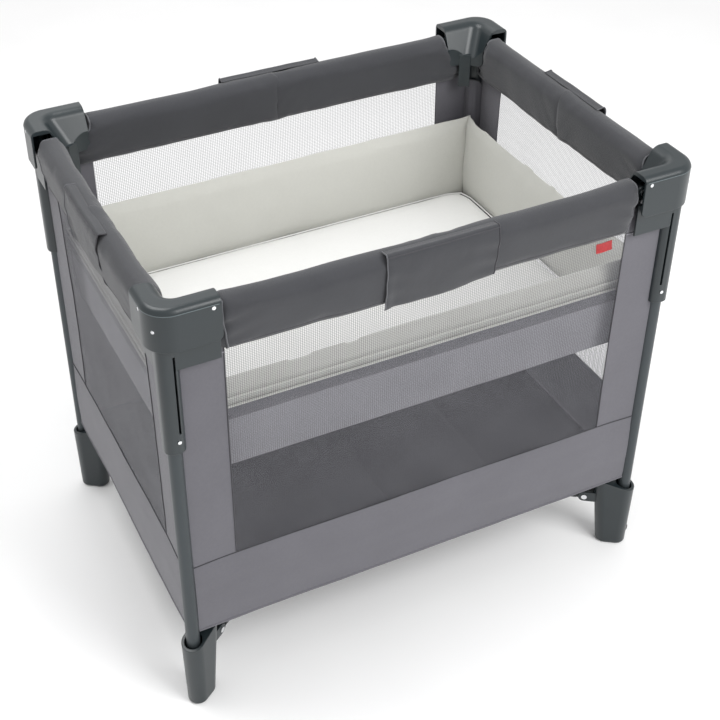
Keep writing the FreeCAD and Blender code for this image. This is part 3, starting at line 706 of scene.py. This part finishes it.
def panel_cloth(side, sign, span, heights, label, columns, rows):
    """A stretch of a side's cloth, between two places along it and two heights."""
    s_low, s_high = span
    z_low, z_high = heights
    seed = (1.7 * sum(map(ord, side.name))) % 13

    def place(s, t):
        run = sign * (s_low + (s_high - s_low) * s)
        z = z_low + (z_high - z_low) * t
        out = panel_out(side, run, z, seed)
        if label == "skirt":
            skirt = (z - z_low) / (z_high - z_low)
            out += 0.0022 * math.sin(math.pi * skirt)
            out += 0.0009 * ripple(run * 0.35, z * 3.2, seed, 0.045, seed + 6)
        return side.at(run, out, z)

    points, faces, uvs = sheet_grid(columns, rows, place)
    if sign < 0:
        faces = [tuple(reversed(face)) for face in faces]
    return points, faces, uvs, place


def side_panel_half(side, sign, corner):
    """Half of a side's cloth: corner strip, net window, skirt, seams and rolled hem."""
    anchor = side.at(sign * side.half, 0, 0.5)
    body = f"post_{corner}"
    window = side.half - WINDOW_INSET
    post_edge = side.half - 0.012
    cloth = MATERIALS["panel_fabric"]
    parts = []
    stem = f"{side.name}_{corner}"
    net_top = COVER_BOTTOM + 0.004
    strip = panel_cloth(side, sign, (window, post_edge), (SEAM_Z, STRIP_TOP), "strip", 10, 44)
    skirt = panel_cloth(side, sign, (0.0, post_edge), (HEM_Z, SEAM_Z), "skirt", 50, 16)
    net = panel_cloth(side, sign, (0.0, window), (SEAM_Z, net_top), "net", 40, 44)
    for label, made_of, material, slot in (
        ("strip", strip, cloth, "panel_fabric"),
        ("skirt", skirt, cloth, "panel_fabric"),
        ("net", net, MATERIALS["mesh_fabric"], "mesh_fabric"),
    ):
        points, faces, uvs = made_of[:3]
        piece = piece_from(f"{label}_{stem}", points, faces, material, uvs)
        if label != "net":
            thicken(piece, 0.0010, offset=0.0)
        parts.append(piece)
    step = 40
    strip_place, skirt_place = strip[3], skirt[3]
    lift = side.out * 0.0010
    upright = [strip_place(0, n / step) + lift for n in range(step + 1)]
    level = [skirt_place(n / step, 1) + lift for n in range(step + 1)]
    hem = [skirt_place(n / step, 0) + Vector((0, 0, 0.0012)) for n in range(step + 1)]
    rise = STRIP_TOP - SEAM_Z
    share = (APRON_BOTTOM - 0.0012 - SEAM_Z) / rise
    edge = [strip_place(n / step, share) + side.out * 0.0012 for n in range(step + 1)]
    parts.append(cord_along(f"top_hem_{stem}", edge, 0.0013, HEM_EDGE))
    parts.append(cord_along(f"seam_upright_{stem}", upright, 0.0011, SEAM))
    parts.append(cord_along(f"seam_level_{stem}", level, 0.0011, SEAM))
    parts.append(cord_along(f"hem_{stem}", hem, 0.0024, cloth))
    for part in parts:
        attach(part, body)
        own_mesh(part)
    return parts[0]


def side_panels():
    """The cloth of all four sides."""
    for side in SIDES:
        halves = [
            side_panel_half(side, sign, corner) for sign, corner in zip((-1, 1), side.ends)
        ]
        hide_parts(f"side_panel_{side.name}")


# ---------------------------------------------------------------- corner sleeves


def corner_sleeve(corner):
    """The cloth pocket round the inner side of a post, with a piped rounded top."""
    sign_x = -1 if "left" in corner else 1
    sign_y = -1 if "front" in corner else 1
    radius = 0.0245
    low, high = FLOOR_Z, SLEEVE_TOP
    columns, rows = 24, 40

    def place(s, t):
        angle = math.radians(-6 + 102 * s)
        flat = 1.0 - 0.06 * math.cos(4 * angle)
        top = high - 0.016 * abs(2 * s - 1) ** 2.5
        z = low + (top - low) * t
        r = radius * flat + 0.0010 * ripple(angle, 0, z * 1.2, 0.12, sign_x + 2 * sign_y)
        x = sign_x * (POST_X - r * math.cos(angle))
        y = sign_y * (POST_Y - r * math.sin(angle))
        return Vector((x, y, z))

    points, faces, uvs = sheet_grid(columns, rows, place)
    name = f"sleeve_{corner}"
    made = piece_from(name, points, faces, MATERIALS["panel_fabric"], uvs)
    thicken(made, 0.0014, offset=0.0)
    rim = points[-(columns + 1) :]
    piping = cord_along(f"{name}_piping", rim, 0.0019, PIPING)
    for part in (made, piping):
        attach(part, f"post_{corner}")


# ---------------------------------------------------------------- floor cloth


def floor_quarter(corner):
    """A quarter of the lower floor, which lies over its own base link."""
    sign_x = -1 if "left" in corner else 1
    sign_y = -1 if "front" in corner else 1
    wide, deep = POST_X - 0.006, POST_Y - 0.004

    def place(s, t):
        x, y = wide * s, deep * t
        dip = 0.0016 * ripple(x * sign_x, y * sign_y, 0, 0.12, 5.0)
        fold_line = min(abs(x - 0.235), abs(x))
        crease = 0.0020 * max(0.0, 1 - fold_line / 0.006)
        edge = 0.004 * smooth_step(max(x / wide, y / deep), 0.97, 1.0)
        return Vector((sign_x * x, sign_y * y, FLOOR_Z - 0.001 + dip - crease + edge))

    points, faces, uvs = sheet_grid(80, 48, place)
    if sign_x * sign_y < 0:
        faces = [tuple(reversed(face)) for face in faces]
    name = f"floor_{corner}"
    made = piece_from(name, points, faces, MATERIALS["floor_fabric"], uvs)
    thicken(made, 0.0025, offset=-1.0)
    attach(made, f"base_link_{corner}")
    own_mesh(made)
    return made


def floor_cloth():
    quarters = [floor_quarter(corner) for corner in CORNERS]
    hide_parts("floor_fabric")


# ---------------------------------------------------------------- bassinet insert

INSERT_RIM_X = INSERT_HIGH.x
INSERT_RIM_Y = INSERT_HIGH.y
INSERT_BASE_X = INSERT_RIM_X - 0.011
INSERT_BASE_Y = INSERT_RIM_Y - 0.013
LOWER_BAND_BOTTOM = 0.536
DARK_BAND_BOTTOM = 0.645
DARK_BAND_TOP = 0.669
INSERT_PIPING = (("lower", 0.672), ("upper", 0.690))


def insert_wall_point(side, s, z, depth):
    """A point of the insert's wall: s from -1 to 1 along the side, depth inward from its face."""
    rise = (z - INSERT_LOW.z) / (INSERT_HIGH.z - INSERT_LOW.z)
    half_x = INSERT_BASE_X + (INSERT_RIM_X - INSERT_BASE_X) * rise
    half_y = INSERT_BASE_Y + (INSERT_RIM_Y - INSERT_BASE_Y) * rise
    run, reach = (half_x, half_y) if side.long else (half_y, half_x)
    point = side.along * (s * run) + side.out * (reach - depth)
    return Vector((point.x, point.y, z))


def insert_wall(side):
    """A quilted wall of the insert: a crowned pad, pinched at its seams."""
    seed = (2.3 * sum(map(ord, side.name))) % 7
    around = 28
    along = 90
    low, high = INSERT_LOW.z, INSERT_HIGH.z
    thick = 0.015

    def place(s, t):
        angle = s * 2 * math.pi
        along_wall = (-1 + 2 * t) * 1.010
        # round the section: up the outer face, over the rim, down the inner face
        height = 0.5 - 0.5 * math.cos(angle)
        inner = s > 0.5
        z = low + 0.004 + (high - low - 0.004) * height
        full = math.sin(math.pi * min(0.995, max(0.005, height))) ** 0.35
        pinch = max(0.0, 1 - abs(along_wall / 1.012) ** 18) ** 0.6
        swell = 0.5 * thick * full * (0.55 + 0.45 * pinch)
        depth = 0.5 * thick + (swell if inner else -swell * 0.5)
        soft = 0.0028 * ripple(along_wall * 3, z * 6, seed, 0.8, seed) * pinch
        soft += 0.0010 * ripple(along_wall * 9, z * 20, seed, 0.8, seed + 2)
        p = insert_wall_point(side, along_wall * (0.996 if inner else 1.0), z, depth + soft)
        sag = 0.0035 * ripple(along_wall * 2.2, 0, seed, 0.7, seed + 1) * smooth_step(height, 0.7, 1)
        p.z += sag - 0.003 * smooth_step(height, 0.8, 1.0) * (1 - abs(along_wall) ** 6)
        return p

    points, faces, uvs = sheet_grid(around, along, place)
    wide = around + 1
    faces += [tuple(reversed(range(wide))), tuple(along * wide + n for n in range(wide))]
    name = f"insert_wall_{side.name}"
    made = piece_from(name, points, faces, MATERIALS["insert_fabric"], uvs)
    close_seam(made)
    made = puff(made, pressure=4, cap=0.0045, voxel=0.006)
    made.data.name = name
    return made


def ring_points(z, depth, count=24):
    """Points round the insert at one height."""
    points = []
    for side in SIDES:
        for n in range(count):
            points.append(insert_wall_point(side, -1 + 2 * n / count, z, depth))
    return points


def insert_band(name, low, high, depth, material):
    """A band round the outside of the insert, shaded as woven cloth."""
    rows = 8
    rings = []
    for row in range(rows + 1):
        z = low + (high - low) * row / rows
        belly = 0.0022 * math.sin(math.pi * row / rows)
        ring = ring_points(z, depth - belly)
        for p in ring:
            lift = 0.0012 * ripple(p.x, p.y, p.z, 0.15, 3.1)
            p.z += lift
        rings.append(ring)
    count = len(rings[0])
    points = [p for ring in rings for p in ring]
    faces = []
    for row in range(rows):
        for n in range(count):
            a, b = row * count + n, row * count + (n + 1) % count
            faces.append((a, b, b + count, a + count))
    uvs = []
    for row in range(rows + 1):
        for n in range(count):
            uvs.append((n * 0.033, points[row * count].z))
    made = piece_from(name, points, faces, material, uvs)
    thicken(made, 0.0012, offset=1.0)
    return made


def insert_board():
    """The cloth-covered board under the mattress."""

    def place(s, t):
        x = (2 * s - 1) * (INSERT_BASE_X - 0.003)
        y = (2 * t - 1) * (INSERT_BASE_Y - 0.003)
        return Vector((x, y, INSERT_LOW.z + 0.001 + 0.001 * ripple(x, y, 0, 0.2, 8)))

    points, faces, uvs = sheet_grid(60, 40, place)
    made = piece_from(
        "insert_board", points, faces, MATERIALS["insert_fabric"], uvs
    )
    thicken(made, 0.0030, offset=1.0)
    return made


def insert_tub():
    """The whole insert: four padded walls, its board, two bands and two rows of piping."""
    parts = [insert_wall(side) for side in SIDES]
    parts.append(insert_board())
    cloth = MATERIALS["insert_fabric"]
    dark = MATERIALS["band_fabric"]
    light_slot = "insert_fabric"
    for name, low, high, depth, material, slot in (
        # the dark band: a dark grey strip, 24 mm tall, round the insert's outside just below its
        # lower piping
        ("insert_dark_band", DARK_BAND_BOTTOM, DARK_BAND_TOP, -0.0052, dark, "band_fabric"),
        ("insert_lower_band", LOWER_BAND_BOTTOM, DARK_BAND_BOTTOM, -0.0036, LOWER_BAND, light_slot),
    ):
        parts.append(insert_band(name, low, high, depth, material))
    for label, height in INSERT_PIPING:
        ring = ring_points(height, -0.0050)
        name = f"insert_piping_{label}"
        parts.append(cord_along(name, ring, 0.0022, cloth, closed=True))
    for part in parts:
        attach(part, "insert")
        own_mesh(part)
    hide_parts("insert")


def mattress():
    """The mattress pad in its fitted sheet, crowned, with round corners."""
    half_x, half_y = MATTRESS_HIGH.x, MATTRESS_HIGH.y
    low, high = MATTRESS_LOW.z, MATTRESS_HIGH.z
    rings = 16
    around = 120

    def outline(angle, grow):
        """A point of a rounded rectangle at that angle, inset by grow."""
        wide, deep = half_x - grow, half_y - grow
        power = 24
        c, s = math.cos(angle), math.sin(angle)
        scale = (abs(c / wide) ** power + abs(s / deep) ** power) ** (-1 / power)
        return c * scale, s * scale

    points, faces, uvs = [], [], []
    profile = []
    for n in range(rings + 1):
        turn = math.pi * n / rings
        rise = 0.5 - 0.5 * math.cos(turn)
        inset = 0.009 * (1 - math.sin(turn) ** 0.6)
        profile.append((inset, low + (high - low) * rise))
    for k in range(1, 14):
        share = k / 13
        profile.append((0.009 + share**1.2 * (min(half_x, half_y) - 0.012), high))
    angles = [2 * math.pi * n / around for n in range(around)]
    for inset, z in profile:
        for angle in angles:
            x, y = outline(angle, min(inset, half_y - 0.004))
            crown = 0.0035 * (1 - (x / half_x) ** 4) * (1 - (y / half_y) ** 4)
            top = smooth_step(z, (low + high) / 2, high)
            soft = 0.0010 * ripple(x, y, 0, 0.16, 2.0) + 0.0004 * ripple(x, y, 0, 0.05, 6.0)
            points.append(Vector((x, y, z + top * (crown + soft))))
            uvs.append((x, y))
    count = len(angles)
    for row in range(len(profile) - 1):
        for n in range(count):
            a, b = row * count + n, row * count + (n + 1) % count
            faces.append((a, b, b + count, a + count))
    last = (len(profile) - 1) * count
    faces.append(tuple(last + n for n in range(count)))
    faces.append(tuple(reversed(range(count))))
    made = piece_from(
        "mattress_pad", points, faces, MATERIALS["mattress_fabric"], uvs
    )
    made = puff(made, pressure=4, cap=0.005, voxel=0.006)
    made.data.name = "mattress_pad"
    ring = []
    for angle in angles:
        x, y = outline(angle, 0.001)
        ring.append(Vector((x, y, high - 0.005)))
    piping = cord_along(
        "mattress_piping", ring, 0.0016, MATERIALS["mattress_fabric"], closed=True
    )
    for part in (made, piping):
        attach(part, "mattress")
        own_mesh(part)
    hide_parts("mattress")


# ---------------------------------------------------------------- tag and trim


def side_tag():
    """The plain red tag sewn under the front rail cover, near the right end."""
    side = SIDES[0]
    left = 0.320
    wide, tall = 0.034, 0.018
    bottom = COVER_BOTTOM - 0.016

    def place(s, t):
        curl = 0.003 * (1 - t) ** 2 + 0.0006 * math.sin(s * 5)
        return side.at(left + wide * s, 0.012 + curl, bottom + tall * t)

    points, faces, uvs = sheet_grid(10, 8, place)
    made = piece_from("red_tag", points, faces, TAG, uvs)
    thicken(made, 0.0009, offset=0.0)
    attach(made, rail_body(side, "front_right"))


# place of the painted highlight cord: its inset from the casting's edge and its drop below the
# casting's top
LIP_HIGHLIGHT_SUNK = 0.0006
LIP_HIGHLIGHT_DROP = 0.0105
CORNER_SCREW_DROP = 0.042


def casting_edge(corner, inset, height, count=14):
    """Points along a casting's outer edge from one arm's end round the corner to the other's."""
    sign_x = -1 if "left" in corner else 1
    sign_y = -1 if "front" in corner else 1
    low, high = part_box(f"corner_casting_{corner}")
    far_x = high.x if sign_x > 0 else low.x
    far_y = high.y if sign_y > 0 else low.y
    near_x = low.x if sign_x > 0 else high.x
    near_y = low.y if sign_y > 0 else high.y
    radius = CASTING_ROUND
    points = [(near_x + sign_x * 0.004, far_y - sign_y * inset)]
    for n in range(count + 1):
        angle = math.pi / 2 * (1 - n / count)
        reach = radius - inset
        x = far_x - sign_x * (radius - reach * math.cos(angle))
        y = far_y - sign_y * (radius - reach * math.sin(angle))
        points.append((x, y))
    points.append((far_x - sign_x * inset, near_y + sign_y * 0.004))
    return [Vector((x, y, height)) for x, y in points]


def casting_trim(corner):
    """The painted highlight under a casting's rolled lip, a thin pale cord for the light that the
    lip's edge catches, and the screw on its round corner.
    """
    # painted highlight: a pale cord laid under the rolled lip, where its edge catches the light
    line = casting_edge(corner, LIP_HIGHLIGHT_SUNK, CASTING_HIGH.z - LIP_HIGHLIGHT_DROP)
    highlight_cord = cord_along(f"lip_line_{corner}", line, 0.0009, LIP_HIGHLIGHT)
    ring = casting_edge(corner, -0.0002, CASTING_HIGH.z - CORNER_SCREW_DROP)
    # a place a little past the middle of the round corner
    place = ring[9]
    normal = (place - Vector((place.x * 0.9, place.y * 0.87, place.z))).normalized()
    screw = dome_screw(f"corner_screw_{corner}", place, normal)
    for part in (highlight_cord, screw):
        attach(part, f"post_{corner}")


def dome_screw(name, place, normal):
    """A domed screw head with a cross cut into it."""
    profile = [(0.0, 0.0013), (0.0010, 0.00125), (0.0020, 0.0010), (0.0028, 0.0006), (0.0031, 0.0)]
    around = 24
    points, faces = [Vector((0, 0, 0.0004))], []
    for ring, (radius, height) in enumerate(profile[1:]):
        for n in range(around):
            angle = 2 * math.pi * n / around
            cross = 0.0006 * max(0.0, 1 - ring / 2) * (abs(math.cos(2 * angle)) ** 6)
            points.append(
                Vector((radius * math.cos(angle), radius * math.sin(angle), height - cross))
            )
    for n in range(around):
        faces.append((0, 1 + n, 1 + (n + 1) % around))
    for ring in range(len(profile) - 2):
        for n in range(around):
            a = 1 + ring * around + n
            b = 1 + ring * around + (n + 1) % around
            faces.append((a, a + around, b + around, b))
    turn = normal.to_track_quat("Z", "Y").to_matrix()
    placed = [place + turn @ p for p in points]
    return piece_from(name, placed, faces, MATERIALS["bright_steel"])


# ---------------------------------------------------------------- carried-over frame


def dress_frame():
    """Gives every shown part of the frame the material of its slot."""
    slots = {row["node"]: row["material_slot"] for row in frame["record"]["subparts"]}
    for node, piece in frame["nodes"].items():
        material = MATERIALS[slots[node]]
        piece.data.materials.clear()
        piece.data.materials.append(material)


# ---------------------------------------------------------------- studio


def studio():
    """A plain pale floor under soft light."""
    bpy.ops.mesh.primitive_plane_add(size=14, location=(0, 0, 0))
    floor = bpy.context.object
    floor.name = "studio_floor"
    made = Shader("studio_floor", roughness=0.9)
    spots = made.noise(3, detail=2)
    made.base(made.colours(spots, (0.93, 0.93, 0.93), (0.95, 0.95, 0.95)))
    floor.data.materials.append(made.material)

    scene = bpy.context.scene
    scene.view_settings.view_transform = "Standard"
    world = bpy.data.worlds.new("studio")
    world.use_nodes = True
    background = world.node_tree.nodes["Background"]
    background.inputs["Color"].default_value = (1, 1, 1, 1)
    background.inputs["Strength"].default_value = 0.80
    scene.world = world

    for name, place, size, power in (
        ("key_light", (1.1, -2.4, 2.6), 1.8, 76),
        ("fill_light", (-0.8, 0.5, 2.8), 1.4, 30),
        ("back_light", (0.6, 2.6, 2.8), 2.0, 9),
    ):
        light = bpy.data.lights.new(name, "AREA")
        light.size = size
        light.energy = power
        lamp = bpy.data.objects.new(name, light)
        lamp.location = place
        aim = Vector((0, 0, 0.5)) - Vector(place)
        lamp.rotation_euler = aim.to_track_quat("-Z", "Y").to_euler()
        scene.collection.objects.link(lamp)


def camera():
    """The camera stands in front, to the left and above."""
    place = (-0.9708, -1.9447, 2.1188)
    yaw, pitch, roll = 0.4295, 0.6302, -0.0177
    forward = Vector(
        (math.sin(yaw) * math.cos(pitch), math.cos(yaw) * math.cos(pitch), -math.sin(pitch))
    )
    level = Vector((math.cos(yaw), -math.sin(yaw), 0))
    upward = level.cross(forward)
    right = math.cos(roll) * level + math.sin(roll) * upward
    up = -math.sin(roll) * level + math.cos(roll) * upward
    data = bpy.data.cameras.new("camera")
    data.sensor_width = 36
    data.lens = 67.2
    data.shift_x = 0.0699
    data.shift_y = -0.0619
    data.clip_start = 0.05
    data.clip_end = 50
    made = bpy.data.objects.new("camera", data)
    turn = Matrix((right, up, -forward)).transposed().to_4x4()
    made.matrix_world = Matrix.Translation(place) @ turn
    bpy.context.scene.collection.objects.link(made)
    bpy.context.scene.camera = made


# ---------------------------------------------------------------- the yard

dress_frame()
rail_covers()
side_panels()
for name in CORNERS:
    corner_sleeve(name)
    casting_trim(name)
floor_cloth()
insert_tub()
mattress()
side_tag()
studio()
camera()
